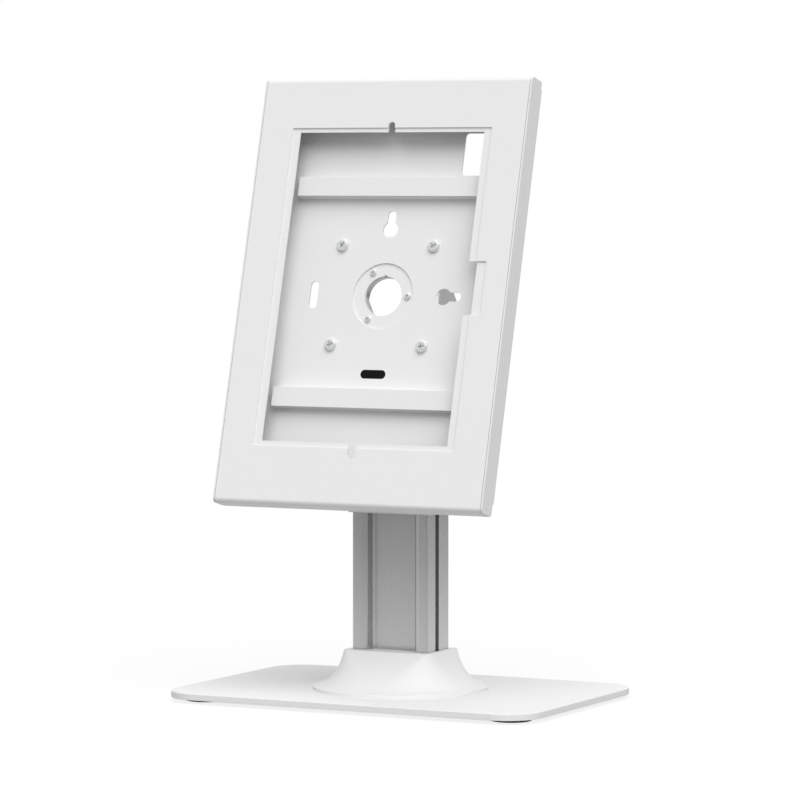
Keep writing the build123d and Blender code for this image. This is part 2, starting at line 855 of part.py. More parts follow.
cover_window = window_outline(window_width, window_top, window_bottom, window_corner)
cover_notch = side_notch(window_width, side_notch_depth, window_corner)
frame_window = window_outline(frame_window_width, frame_window_top, frame_window_bottom, window_corner)
frame_notch = side_notch(frame_window_width, frame_notch_depth, frame_notch_radius)
stud_places = GridLocations(
    frame_width - 2 * frame_stud_inset, frame_height - 2 * frame_stud_inset, 2, 2
)
cover_section = Rot(0, 0, -90) * folded_channel(
    cover_half_height, sheet, cover_bend_radius, cover_flange_depth, 0
)
lug_outline = hull_outline(
    (hinge_setback, hinge_v),
    lug_radius,
    (
        (hinge_setback - lug_radius, -cover_half_height + sheet / 2),
        (hinge_setback + lug_radius, -cover_half_height + sheet / 2),
        (hinge_setback, -cover_half_height + sheet),
    ),
)

with BuildPart() as front_cover:
    with BuildSketch(panel_side):
        add(cover_section)
    extrude(amount=cover_half, both=True)
    for side in (-1, 1):
        with BuildSketch(panel_side.offset(side * (cover_half - sheet / 2))):
            add(lug_outline)
        extrude(amount=sheet / 2, both=True)
    with BuildSketch(panel_side):
        with Locations((hinge_setback, hinge_v)):
            Circle(hinge_pin_radius + running_gap)
    extrude(amount=cover_half, both=True, mode=Mode.SUBTRACT)
    with BuildSketch(at_depth(sheet)):
        add(cover_window)
        add(cover_notch)
    extrude(amount=sheet, mode=Mode.SUBTRACT)
    with BuildSketch(panel_section.offset(cover_half_height - sheet)):
        for side in (-1, 1):
            with Locations((side * cover_screw_spacing / 2, cover_screw_depth)):
                Circle(m4_radius + thread_gap)
    extrude(amount=sheet, mode=Mode.SUBTRACT)
    with BuildSketch(at_depth(sheet)):
        with stud_places:
            Circle(frame_stud_radius)
    extrude(amount=-frame_stud_length)
save(front_cover, "front_cover")

with BuildPart() as inner_frame:
    with BuildSketch(at_depth(frame_rear)):
        Rectangle(frame_width, frame_height)
        add(frame_window, mode=Mode.SUBTRACT)
        add(frame_notch, mode=Mode.SUBTRACT)
        with stud_places:
            Circle(frame_stud_radius + thread_gap, mode=Mode.SUBTRACT)
    extrude(amount=frame_sheet)
save(inner_frame, "inner_frame")

with BuildPart() as frame_nuts:
    with BuildSketch(at_depth(frame_rear)):
        with stud_places:
            RegularPolygon(frame_nut_width / 2, side_count=6, major_radius=False)
            Circle(frame_stud_radius + thread_gap, mode=Mode.SUBTRACT)
    extrude(amount=-frame_nut_height)
save(frame_nuts, "frame_nuts")

with BuildPart() as tablet_pads:
    with BuildSketch(at_depth(frame_rear)):
        with GridLocations(frame_width - 2 * pad_inset, pad_spacing_y, 2, 2):
            Rectangle(pad_width, pad_length)
        for pad_v in (end_pad_top, end_pad_bottom):
            with Locations((0, pad_v)):
                with GridLocations(end_pad_spacing_x, 0, 2, 1):
                    Rectangle(pad_length, pad_width)
    extrude(amount=-pad_height)
save(tablet_pads, "tablet_pads")


# Cover screws, which slide out of open slots in the housing as the cover swings
screw_places = [
    (side * cover_screw_spacing / 2, cover_screw_depth) for side in (-1, 1)
]
nut_top = back_top - sheet - thread_gap
nut_bottom = nut_top - cover_nut_height

with BuildPart() as cover_screws:
    with BuildSketch(panel_section.offset(cover_half_height)):
        with Locations(screw_places):
            Circle(cover_screw_head_radius)
    extrude(amount=cover_screw_head_height)
    rim = cover_screws.edges().filter_by(GeomType.CIRCLE).group_by(Axis(panel_centre, upward))[-1]
    fillet(rim, cover_screw_head_height / 2)
    with BuildSketch(panel_section.offset(nut_bottom - cover_screw_tip)):
        with Locations(screw_places):
            Circle(m4_radius)
    extrude(amount=cover_half_height - nut_bottom + cover_screw_tip)
    with BuildSketch(panel_section.offset(cover_half_height + cover_screw_head_height)):
        with Locations(screw_places):
            RegularPolygon(cover_screw_hex_width / 2, side_count=6, major_radius=False)
            Circle(cover_screw_pin_radius, mode=Mode.SUBTRACT)
    extrude(amount=-cover_screw_hex_depth, mode=Mode.SUBTRACT)
save(cover_screws, "cover_screws")

with BuildPart() as cover_spacers:
    with BuildSketch(panel_section.offset(back_top + free_gap)):
        with Locations(screw_places):
            Circle(cover_spacer_radius)
            Circle(m4_radius + thread_gap, mode=Mode.SUBTRACT)
    extrude(amount=cover_half_height - sheet - back_top - free_gap)
save(cover_spacers, "cover_spacers")

with BuildPart() as clamp_nuts:
    with BuildSketch(panel_section.offset(nut_bottom)):
        with Locations(screw_places):
            RegularPolygon(cover_nut_width / 2, side_count=6, major_radius=False)
            Circle(m4_radius + thread_gap, mode=Mode.SUBTRACT)
    extrude(amount=cover_nut_height)
save(clamp_nuts, "clamp_nuts")
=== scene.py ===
import bpy
import bmesh
import json
import math
from mathutils import Euler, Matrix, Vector


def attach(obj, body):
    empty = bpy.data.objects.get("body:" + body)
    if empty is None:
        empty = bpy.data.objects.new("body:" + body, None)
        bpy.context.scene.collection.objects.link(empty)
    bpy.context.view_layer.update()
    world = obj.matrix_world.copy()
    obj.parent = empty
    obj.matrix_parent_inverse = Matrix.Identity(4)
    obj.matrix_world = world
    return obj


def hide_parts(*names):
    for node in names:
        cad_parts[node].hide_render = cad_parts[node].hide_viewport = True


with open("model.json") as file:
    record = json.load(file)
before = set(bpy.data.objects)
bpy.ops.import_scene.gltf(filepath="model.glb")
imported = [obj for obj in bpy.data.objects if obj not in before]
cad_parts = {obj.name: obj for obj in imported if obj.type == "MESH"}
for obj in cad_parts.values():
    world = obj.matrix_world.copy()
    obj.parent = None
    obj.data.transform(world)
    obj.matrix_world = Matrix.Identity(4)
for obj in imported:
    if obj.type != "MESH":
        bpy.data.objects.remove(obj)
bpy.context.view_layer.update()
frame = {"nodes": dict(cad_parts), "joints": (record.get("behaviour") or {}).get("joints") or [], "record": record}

record = frame["record"]
nodes = frame["nodes"]
scene = bpy.context.scene
mm = 0.001
quarterTurn = math.pi / 2
bodyOf = {node: body for body, members in record["behaviour"]["bodies"].items() for node in members}
slotOf = {part["node"]: part["material_slot"] for part in record["subparts"]}

# The ways that the head's face looks and its top edge points, at rest
joints = {joint["name"]: joint for joint in frame["joints"]}
outward = -Vector(joints["panel_turn"]["axis"])
if outward.y > 0:
    outward = -outward
upward = Vector((1, 0, 0)).cross(outward)
if upward.z < 0:
    upward = -upward
print("frame loaded,", len(nodes), "nodes")


# Node helpers, for shader trees and geometry trees alike
def newGroup(name, inputs, outputs, kind="ShaderNodeTree"):
    tree = bpy.data.node_groups.new(name, kind)
    for label, socketType, value in inputs:
        socket = tree.interface.new_socket(label, in_out="INPUT", socket_type=socketType)
        if value is not None:
            socket.default_value = value
    for label, socketType in outputs:
        tree.interface.new_socket(label, in_out="OUTPUT", socket_type=socketType)
    return tree, tree.nodes.new("NodeGroupInput"), tree.nodes.new("NodeGroupOutput")


def feed(tree, socket, value):
    if isinstance(value, bpy.types.NodeSocket):
        tree.links.new(value, socket)
    else:
        socket.default_value = value


def mathNode(tree, operation, first, second=None):
    node = tree.nodes.new("ShaderNodeMath")
    node.operation = operation
    feed(tree, node.inputs[0], first)
    if second is not None:
        feed(tree, node.inputs[1], second)
    return node.outputs[0]


def noiseNode(tree, vector, scale, detail):
    node = tree.nodes.new("ShaderNodeTexNoise")
    node.inputs["Detail"].default_value = detail
    feed(tree, node.inputs["Vector"], vector)
    feed(tree, node.inputs["Scale"], scale)
    return node.outputs["Fac"]


# Noise runs from 0 to 1 about a middle of 0.5
def centred(tree, value, amount):
    return mathNode(tree, "MULTIPLY", mathNode(tree, "SUBTRACT", value, 0.5), amount)


effectOutputs = [(label, "NodeSocketFloat") for label in ("Height", "Brightness", "Roughness")]


def putOut(tree, result, values):
    for label, value in values.items():
        tree.links.new(value, result.inputs[label])


# One grain serves coats, plastics, foam and rubber: fine peel, sparse specks and a slow drift in tone
coatNoise = {
    "finerBy": 2.7, "finerShare": 0.35, "driftScale": 9.0, "mottleScale": 160.0, "mottleShare": 0.6,
    "speckScale": 1100.0, "speckLevel": 0.79,
}


def makeCoatGrain():
    tree, given, result = newGroup(
        "coatGrain",
        [
            ("Vector", "NodeSocketVector", (0, 0, 0)),
            ("Grain Scale", "NodeSocketFloat", 1800.0),
            ("Tone", "NodeSocketFloat", 0.02),
            ("Roughness", "NodeSocketFloat", 0.4),
            ("Roughness Swing", "NodeSocketFloat", 0.1),
        ],
        effectOutputs,
    )
    vector, grainScale = given.outputs["Vector"], given.outputs["Grain Scale"]
    toneAmount, swing = given.outputs["Tone"], given.outputs["Roughness Swing"]
    peel = noiseNode(tree, vector, grainScale, detail=3.0)
    fineScale = mathNode(tree, "MULTIPLY", grainScale, coatNoise["finerBy"])
    fine = noiseNode(tree, vector, fineScale, detail=1.0)
    height = mathNode(tree, "ADD", peel, mathNode(tree, "MULTIPLY", fine, coatNoise["finerShare"]))
    drift = noiseNode(tree, vector, coatNoise["driftScale"], detail=3.0)
    mottle = noiseNode(tree, vector, coatNoise["mottleScale"], detail=2.0)
    slow = centred(tree, drift, toneAmount)
    quick = mathNode(tree, "MULTIPLY", centred(tree, mottle, toneAmount), coatNoise["mottleShare"])
    speck = noiseNode(tree, vector, coatNoise["speckScale"], detail=0.0)
    isSpeck = mathNode(tree, "GREATER_THAN", speck, coatNoise["speckLevel"])
    darker = mathNode(tree, "MULTIPLY", isSpeck, toneAmount)
    tone = mathNode(tree, "ADD", mathNode(tree, "ADD", slow, quick), 1.0)
    tone = mathNode(tree, "SUBTRACT", tone, darker)
    rough = mathNode(tree, "ADD", given.outputs["Roughness"], centred(tree, mottle, swing))
    putOut(tree, result, {"Height": height, "Brightness": tone, "Roughness": rough})
    return tree


# Fine lines that a die or a lathe leaves, drawn out along one axis by the scales that it's given
lineNoise = {"stainScale": 70.0, "lineShare": 0.6, "stainShare": 0.4}


def makeToolLines():
    tree, given, result = newGroup(
        "toolLines",
        [
            ("Vector", "NodeSocketVector", (0, 0, 0)),
            ("Stretch", "NodeSocketVector", (2500, 2500, 8)),
            ("Tone", "NodeSocketFloat", 0.05),
            ("Roughness", "NodeSocketFloat", 0.35),
            ("Roughness Swing", "NodeSocketFloat", 0.2),
        ],
        effectOutputs,
    )
    stretch = tree.nodes.new("ShaderNodeVectorMath")
    stretch.operation = "MULTIPLY"
    tree.links.new(given.outputs["Vector"], stretch.inputs[0])
    tree.links.new(given.outputs["Stretch"], stretch.inputs[1])
    lines = noiseNode(tree, stretch.outputs[0], 1.0, detail=4.0)
    stain = noiseNode(tree, given.outputs["Vector"], lineNoise["stainScale"], detail=3.0)
    both = mathNode(
        tree, "ADD", mathNode(tree, "MULTIPLY", lines, lineNoise["lineShare"]),
        mathNode(tree, "MULTIPLY", stain, lineNoise["stainShare"]),
    )
    tone = mathNode(tree, "ADD", centred(tree, both, given.outputs["Tone"]), 1.0)
    swing = centred(tree, both, given.outputs["Roughness Swing"])
    rough = mathNode(tree, "ADD", given.outputs["Roughness"], swing)
    putOut(tree, result, {"Height": lines, "Brightness": tone, "Roughness": rough})
    return tree


coatGrain = makeCoatGrain()
toolLines = makeToolLines()

# One finish for each material slot. Scales are per metre, and a bump's depth is in metres.
finishes = {
    "white_coat": {
        "name": "satinWhiteCoat", "effect": coatGrain,
        "colour": (0.81, 0.81, 0.81), "specular": 0.35, "bump": 0.12, "bumpDepth": 0.00006,
        "inputs": {"Grain Scale": 1500, "Tone": 0.02, "Roughness": 0.5, "Roughness Swing": 0.12},
    },
    "silver_anodised": {
        "name": "silverAnodised", "effect": toolLines,
        "colour": (0.54, 0.54, 0.54), "metallic": 0.85, "bump": 0.1, "bumpDepth": 0.00004,
        "inputs": {"Stretch": (2600, 2600, 6), "Tone": 0.07, "Roughness": 0.26, "Roughness Swing": 0.12},
    },
    "zinc_steel": {
        "name": "zincPlatedSteel", "effect": toolLines,
        "colour": (0.76, 0.78, 0.77), "metallic": 0.75, "bump": 0.15, "bumpDepth": 0.00003,
        "inputs": {"Stretch": (1400, 1400, 1400), "Tone": 0.15, "Roughness": 0.46, "Roughness Swing": 0.2},
    },
    "black_steel": {
        "name": "blackOxideSteel", "effect": coatGrain,
        "colour": (0.018, 0.018, 0.019), "metallic": 0.4, "bump": 0.15, "bumpDepth": 0.00003,
        "inputs": {"Grain Scale": 2500, "Tone": 0.3, "Roughness": 0.42, "Roughness Swing": 0.2},
    },
    # The hub's colour sits well below bright aluminium's. Part of that darkness is painted shade for the bore
    # wall, the part of the hub that shows, and the rest is the metal's own grey.
    "bright_aluminium": {
        "name": "turnedAluminium", "effect": toolLines,
        "colour": (0.42, 0.42, 0.42), "metallic": 0.9, "bump": 0.3, "bumpDepth": 0.00004,
        "inputs": {"Stretch": (300, 3000, 300), "Tone": 0.25, "Roughness": 0.3, "Roughness Swing": 0.2},
    },
    "foot_rubber": {
        "name": "footRubber", "effect": coatGrain,
        "colour": (0.14, 0.14, 0.14), "specular": 0.3, "bump": 0.5, "bumpDepth": 0.0001,
        "inputs": {"Grain Scale": 1300, "Tone": 0.3, "Roughness": 0.78, "Roughness Swing": 0.2},
    },
    "grey_plastic": {
        "name": "mouldedGreyPlastic", "effect": coatGrain,
        "colour": (0.42, 0.42, 0.42), "bump": 0.3, "bumpDepth": 0.00006,
        "inputs": {"Grain Scale": 2200, "Tone": 0.06, "Roughness": 0.5, "Roughness Swing": 0.12},
    },
    "black_plastic": {
        "name": "mouldedBlackPlastic", "effect": coatGrain,
        "colour": (0.006, 0.006, 0.006), "specular": 0.1, "bump": 0.25, "bumpDepth": 0.00005,
        "inputs": {"Grain Scale": 2200, "Tone": 0.2, "Roughness": 0.38, "Roughness Swing": 0.12},
    },
    "nylon": {
        "name": "naturalNylon", "effect": coatGrain,
        "colour": (0.76, 0.75, 0.70), "bump": 0.2, "bumpDepth": 0.00004,
        "inputs": {"Grain Scale": 2000, "Tone": 0.05, "Roughness": 0.36, "Roughness Swing": 0.1},
    },
    "white_foam": {
        "name": "whiteFoam", "effect": coatGrain,
        "colour": (0.80, 0.80, 0.795), "specular": 0.25, "bump": 0.5, "bumpDepth": 0.00012,
        "inputs": {"Grain Scale": 1100, "Tone": 0.04, "Roughness": 0.85, "Roughness Swing": 0.1},
    },
    "grey_foam": {
        "name": "greyFoam", "effect": coatGrain,
        "colour": (0.10, 0.10, 0.10), "specular": 0.2, "bump": 0.7, "bumpDepth": 0.0002,
        "inputs": {"Grain Scale": 1000, "Tone": 0.3, "Roughness": 0.9, "Roughness Swing": 0.1},
    },
}


def makeMaterial(finish):
    material = bpy.data.materials.new(finish["name"])
    material.use_nodes = True
    tree = material.node_tree
    shader = tree.nodes["Principled BSDF"]
    place = tree.nodes.new("ShaderNodeTexCoord").outputs["Object"]
    group = tree.nodes.new("ShaderNodeGroup")
    group.node_tree = finish["effect"]
    tree.links.new(place, group.inputs["Vector"])
    for label, value in finish["inputs"].items():
        group.inputs[label].default_value = value
    tint = tree.nodes.new("ShaderNodeVectorMath")
    tint.operation = "SCALE"
    tint.inputs[0].default_value = finish["colour"]
    tree.links.new(group.outputs["Brightness"], tint.inputs["Scale"])
    tree.links.new(tint.outputs[0], shader.inputs["Base Color"])
    tree.links.new(group.outputs["Roughness"], shader.inputs["Roughness"])
    bump = tree.nodes.new("ShaderNodeBump")
    bump.inputs["Strength"].default_value = finish["bump"]
    bump.inputs["Distance"].default_value = finish["bumpDepth"]
    tree.links.new(group.outputs["Height"], bump.inputs["Height"])
    tree.links.new(bump.outputs["Normal"], shader.inputs["Normal"])
    shader.inputs["Metallic"].default_value = finish.get("metallic", 0.0)
    shader.inputs["Specular IOR Level"].default_value = finish.get("specular", 0.5)
    material.diffuse_color = (*finish["colour"], 1.0)
    return material


materials = {slot: makeMaterial(finish) for slot, finish in finishes.items()}
print("materials made,", len(materials))


# Mesh helpers
edgeSettings = {
    "mergeDistance": 0.004 * mm, "fineMerge": 0.0004 * mm, "flatAngle": math.radians(0.4),
    "sharpAngle": math.radians(32.0), "segments": 2, "flatWeight": 80,
}


def linked(name, data):
    made = bpy.data.objects.new(name, data)
    scene.collection.objects.link(made)
    return made


def newPiece(name, made):
    mesh = bpy.data.meshes.new(name)
    made.to_mesh(mesh)
    made.free()
    return linked(name, mesh)


def mergedCopy(node):
    made = bmesh.new()
    made.from_mesh(nodes[node].data)
    bmesh.ops.remove_doubles(made, verts=made.verts, dist=edgeSettings["mergeDistance"])
    return made


def baked(piece):
    graph = bpy.context.evaluated_depsgraph_get()
    mesh = bpy.data.meshes.new_from_object(piece.evaluated_get(graph))
    piece.modifiers.clear()
    piece.data = mesh
    return piece


def shadeSmooth(mesh):
    mesh.polygons.foreach_set("use_smooth", [True] * len(mesh.polygons))


def softened(piece, width, segments=edgeSettings["segments"]):
    shadeSmooth(piece.data)
    bevel = piece.modifiers.new("softEdges", "BEVEL")
    bevel.width = width
    bevel.segments = segments
    bevel.limit_method = "ANGLE"
    bevel.angle_limit = edgeSettings["sharpAngle"]
    bevel.miter_outer = "MITER_ARC"
    flatFaces = piece.modifiers.new("flatFaces", "WEIGHTED_NORMAL")
    flatFaces.weight = edgeSettings["flatWeight"]
    flatFaces.keep_sharp = True
    return baked(piece)


def carve(piece, cutter, operation="DIFFERENCE"):
    carving = piece.modifiers.new("carving", "BOOLEAN")
    carving.operation = operation
    carving.solver = "EXACT"
    carving.object = cutter
    baked(piece)
    bpy.data.objects.remove(cutter)
    return piece


def dress(piece, node):
    piece.data.materials.clear()
    piece.data.materials.append(materials[slotOf[node]])
    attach(piece, bodyOf[node])
    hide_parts(node)
    print("made", piece.name)
    return piece


# Folded, cut, extruded and moulded pieces: the CAD solid's merged copy with softened edges.
# Lengths in this and the later dictionaries are in millimetres.
softPieces = {
    "base_plate": 0.3, "column": 0.15, "carriage": 0.25, "tilt_yoke": 0.25, "vesa_plate": 0.25,
    "pivot_hub": 0.3, "back_housing": 0.05, "rail_upper": 0.15, "rail_lower": 0.15, "slot_plug": 0.2,
    "front_cover": 0.2, "inner_frame": 0.12, "rail_foam": 0.2, "column_cap": 0.3, "t_nuts": 0.3,
    "tablet_pads": 0.4,
}


def softenedCopy(node, width):
    made = mergedCopy(node)
    flat = edgeSettings["flatAngle"]
    bmesh.ops.dissolve_limit(made, angle_limit=flat, verts=made.verts, edges=made.edges)
    return softened(newPiece(node + "Skin", made), width)


for node, width in softPieces.items():
    dress(softenedCopy(node, width * mm), node)


# Where a node's separate solids sit, measured along the way that they face
def solidsOf(node):
    made = mergedCopy(node)
    solids = []
    unseen = set(made.verts)
    for first in made.verts:
        if first not in unseen:
            continue
        unseen.remove(first)
        group = [first]
        for vert in group:
            for edge in vert.link_edges:
                other = edge.other_vert(vert)
                if other in unseen:
                    unseen.remove(other)
                    group.append(other)
        solids.append([vert.co.copy() for vert in group])
    made.free()
    return solids


# A facing lies along x or square to it, so one of these two ways is square to the facing
def placeOf(points, facing):
    across = Vector((0, 1, 0)) if abs(facing.x) > 0.5 else Vector((1, 0, 0))
    middle = Vector((0, 0, 0))
    for way in (across, facing.cross(across)):
        along = [point.dot(way) for point in points]
        middle += way * (min(along) + max(along)) / 2
    heights = [point.dot(facing) for point in points]
    radii = [(point - middle - facing * point.dot(facing)).length for point in points]
    return {
        "top": middle + facing * max(heights), "length": (max(heights) - min(heights)) / mm,
        "outer": max(radii) / mm, "inner": min(radii) / mm, "facing": facing,
    }


# Sideways solids face away from the middle of the stand
def placesOf(node, facing):
    places = []
    for points in solidsOf(node):
        side = sum(point.x for point in points)
        ownFacing = Vector((math.copysign(1, side), 0, 0)) if facing == "sideways" else facing
        places.append(placeOf(points, ownFacing))
    return places


# Each Geometry Nodes tree ends in real geometry with the piece's own material
def endTree(tree, given, result, geometry):
    realize = tree.nodes.new("GeometryNodeRealizeInstances")
    tree.links.new(geometry, realize.inputs[0])
    finish = tree.nodes.new("GeometryNodeSetMaterial")
    tree.links.new(realize.outputs[0], finish.inputs["Geometry"])
    tree.links.new(given.outputs["Material"], finish.inputs["Material"])
    tree.links.new(finish.outputs[0], result.inputs["Geometry"])


# Geometry Nodes tree that stands one made piece at every place, turned to face the right way
def makePiecesAtPlaces():
    tree, given, result = newGroup(
        "piecesAtPlaces",
        [
            ("Geometry", "NodeSocketGeometry", None),
            ("Piece", "NodeSocketObject", None),
            ("Material", "NodeSocketMaterial", None),
        ],
        [("Geometry", "NodeSocketGeometry")],
        "GeometryNodeTree",
    )
    attributes = {}
    for label, dataType in (("facing", "FLOAT_VECTOR"), ("roll", "FLOAT")):
        attributes[label] = tree.nodes.new("GeometryNodeInputNamedAttribute")
        attributes[label].data_type = dataType
        attributes[label].inputs["Name"].default_value = label
    turn = tree.nodes.new("FunctionNodeAlignRotationToVector")
    turn.axis = "Z"
    tree.links.new(attributes["facing"].outputs["Attribute"], turn.inputs["Vector"])
    roll = tree.nodes.new("FunctionNodeAxisAngleToRotation")
    roll.inputs["Axis"].default_value = (0, 0, 1)
    tree.links.new(attributes["roll"].outputs["Attribute"], roll.inputs["Angle"])
    both = tree.nodes.new("FunctionNodeRotateRotation")
    both.rotation_space = "LOCAL"
    tree.links.new(turn.outputs[0], both.inputs["Rotation"])
    tree.links.new(roll.outputs[0], both.inputs["Rotate By"])
    shape = tree.nodes.new("GeometryNodeObjectInfo")
    tree.links.new(given.outputs["Piece"], shape.inputs["Object"])
    stand = tree.nodes.new("GeometryNodeInstanceOnPoints")
    tree.links.new(given.outputs["Geometry"], stand.inputs["Points"])
    tree.links.new(shape.outputs["Geometry"], stand.inputs["Instance"])
    tree.links.new(both.outputs[0], stand.inputs["Rotation"])
    endTree(tree, given, result, stand.outputs[0])
    return tree


def runTree(piece, tree, values):
    growing = piece.modifiers.new(tree.name, "NODES")
    growing.node_group = tree
    for item in tree.interface.items_tree:
        if item.item_type == "SOCKET" and item.in_out == "INPUT" and item.name in values:
            growing[item.identifier] = values[item.name]
    return baked(piece)


def smoothed(piece):
    shadeSmooth(piece.data)
    piece.data.set_sharp_from_angle(angle=edgeSettings["sharpAngle"])
    return piece


piecesAtPlaces = makePiecesAtPlaces()


# Rolls turn each placed piece about its own axis, in degrees
def placePieces(node, model, places, rolls=(0.0,)):
    mesh = bpy.data.meshes.new(node + "Places")
    mesh.from_pydata([place["top"] for place in places], [], [])
    mesh.attributes.new("facing", "FLOAT_VECTOR", "POINT")
    mesh.attributes.new("roll", "FLOAT", "POINT")
    for index, place in enumerate(places):
        mesh.attributes["facing"].data[index].vector = place["facing"]
        mesh.attributes["roll"].data[index].value = math.radians(rolls[index % len(rolls)])
    piece = linked(node + "Set", mesh)
    runTree(piece, piecesAtPlaces, {"Piece": model, "Material": materials[slotOf[node]]})
    bpy.data.objects.remove(model)
    return dress(smoothed(piece), node)


# Turned and hexagonal shapes. Each is made with its outer face at the origin and its body below.
# A profile is a list of radius and height, and a radius of 0 closes it in one point.
def turned(name, profile, steps=48):
    made = bmesh.new()
    rings = []
    for radius, height in profile:
        if radius == 0:
            rings.append([made.verts.new((0, 0, height * mm))] * steps)
            continue
        ring = []
        for step in range(steps):
            angle = math.tau * step / steps
            x, y = radius * mm * math.cos(angle), radius * mm * math.sin(angle)
            ring.append(made.verts.new((x, y, height * mm)))
        rings.append(ring)
    for upper, lower in zip(rings, rings[1:]):
        for step in range(steps):
            after = (step + 1) % steps
            around = (upper[step], upper[after], lower[after], lower[step])
            made.faces.new(list(dict.fromkeys(around)))
    bmesh.ops.remove_doubles(made, verts=made.verts, dist=edgeSettings["fineMerge"])
    bmesh.ops.recalc_face_normals(made, faces=made.faces)
    return newPiece(name, made)


def ringProfile(outer, inner, length, chamfer):
    return [
        (inner, -chamfer), (inner + chamfer, 0), (outer - chamfer, 0), (outer, -chamfer),
        (outer, chamfer - length), (outer - chamfer, -length), (inner + chamfer, -length),
        (inner, chamfer - length), (inner, -chamfer),
    ]


# Domed head on a shank. A squareness below 1 gives a pan head, and 1 a button head.
def headProfile(size):
    profile = [(0, 0)]
    for step in range(1, size["domeSteps"] + 1):
        angle = quarterTurn * step / size["domeSteps"]
        drop = size["rise"] * (1 - math.cos(angle))
        profile.append((size["headRadius"] * math.sin(angle) ** size["squareness"], -drop))
    under = -size["headHeight"]
    chamfer = size["chamfer"]
    profile += [(size["headRadius"], under + chamfer), (size["headRadius"] - chamfer, under)]
    return profile + shankProfile(size, under)


def shankProfile(size, top):
    radius, chamfer = size["shankRadius"], size["chamfer"]
    tip = -size["length"]
    return [(radius, top), (radius, tip + chamfer), (radius - chamfer, tip), (0, tip)]


def cornerRadius(acrossFlats):
    return acrossFlats / 2 / math.cos(math.pi / 6)


def hexagon(name, acrossFlats, top, bottom):
    made = bmesh.new()
    corner = cornerRadius(acrossFlats) * mm
    bmesh.ops.create_cone(
        made, cap_ends=True, segments=6, radius1=corner, radius2=corner, depth=(top - bottom) * mm
    )
    bmesh.ops.translate(made, verts=made.verts, vec=(0, 0, (top + bottom) / 2 * mm))
    return newPiece(name, made)


# One bar of a cross recess, shorter and thinner towards the bottom
def crossBar(name, size, turn):
    made = bmesh.new()
    bmesh.ops.create_cube(made, size=1)
    for vert in made.verts:
        isTop = vert.co.z > 0
        reach = 2 * size["recessReach"] * (1 if isTop else size["recessTaper"])
        width = size["recessWidth"] * (1 if isTop else size["recessThinning"])
        height = size["recessDepth"] * (1 if isTop else -1)
        vert.co = Vector((vert.co.x * reach, vert.co.y * width, height)) * mm
    bmesh.ops.rotate(made, verts=made.verts, matrix=Euler((0, 0, turn)).to_matrix())
    return newPiece(name, made)


def crossHeadScrew(name, size):
    screw = turned(name, headProfile(size))
    for turn in (0.0, quarterTurn):
        carve(screw, crossBar("crossBar", size, turn))
    return screw


def socketScrew(name, size, profile):
    screw = turned(name, profile)
    carve(screw, hexagon("socket", size["socketWidth"], size["socketDepth"], -size["socketDepth"]))
    if "pinRadius" in size:
        radius, chamfer, bottom = size["pinRadius"], size["chamfer"], -size["headHeight"]
        pin = [(0, -chamfer), (radius, -2 * chamfer), (radius, bottom), (0, bottom)]
        carve(screw, turned("pin", pin, size["pinSteps"]), "UNION")
    return screw


# A hexagonal blank, cut by a lens that chamfers the corners of one face or both
def chamferedHexagon(name, size):
    corner = cornerRadius(size["acrossFlats"])
    flat = size["acrossFlats"] / 2 * size["faceShare"]
    slope = math.tan(math.radians(size["chamferAngle"]))
    wide = 2 * corner
    wideDrop = (corner - flat) * slope + (wide - corner) * slope
    back = -size["height"]
    lens = [(0, 0), (flat, 0), (wide, -wideDrop)]
    if size.get("flatBack"):
        lens += [(wide, back), (0, back)]
    else:
        lens += [(wide, wideDrop + back), (flat, back), (0, back)]
    blank = hexagon(name, size["acrossFlats"], 0, back)
    return carve(blank, turned(name + "Lens", lens), "INTERSECT")


def hexNut(name, size):
    nut = chamferedHexagon(name, size)
    bore, lead, back, margin = size["bore"], size["lead"], -size["height"], size["drillMargin"]
    wide = bore + lead + margin
    drill = [(0, margin), (wide, margin), (bore, -lead), (bore, lead + back), (wide, back - margin)]
    return carve(nut, turned("drill", drill + [(0, back - margin)]))


# The thread is a stack of level ridges
def hexBolt(name, size):
    head = chamferedHexagon(name, size)
    middle = -size["height"] / 2
    shank, pitch, tip = size["shankRadius"], size["pitch"], -size["length"]
    groove = shank - size["threadDepth"]
    height = size["threadLength"] + tip
    profile = [(0, middle), (shank, middle), (shank, height)]
    while height - pitch > tip:
        profile += [(groove, height - pitch / 2), (shank, height - pitch)]
        height -= pitch
    profile += [(groove, tip), (0, tip)]
    return carve(head, turned("shank", profile), "UNION")


# Cross-head screws on the mounting square and round the hub
crossScrews = {
    "vesa_screws": {
        "headRadius": 4.4, "headHeight": 2.4, "rise": 0.4, "squareness": 0.2, "domeSteps": 9,
        "chamfer": 0.15, "shankRadius": 2.0, "recessReach": 3.3, "recessWidth": 1.3, "recessDepth": 1.8,
        "recessTaper": 0.45, "recessThinning": 0.8, "rolls": (8.0, 35.0, 20.0, 62.0),
    },
    "hub_screws": {
        "headRadius": 2.5, "headHeight": 1.5, "rise": 0.4, "squareness": 0.3, "domeSteps": 8,
        "chamfer": 0.1, "shankRadius": 1.5, "recessReach": 2.0, "recessWidth": 0.85, "recessDepth": 1.05,
        "recessTaper": 0.45, "recessThinning": 0.8, "rolls": (15.0, 50.0, 75.0),
    },
}
for node, size in crossScrews.items():
    places = placesOf(node, outward)
    size["length"] = places[0]["length"]
    placePieces(node, crossHeadScrew(node + "Model", size), places, size["rolls"])

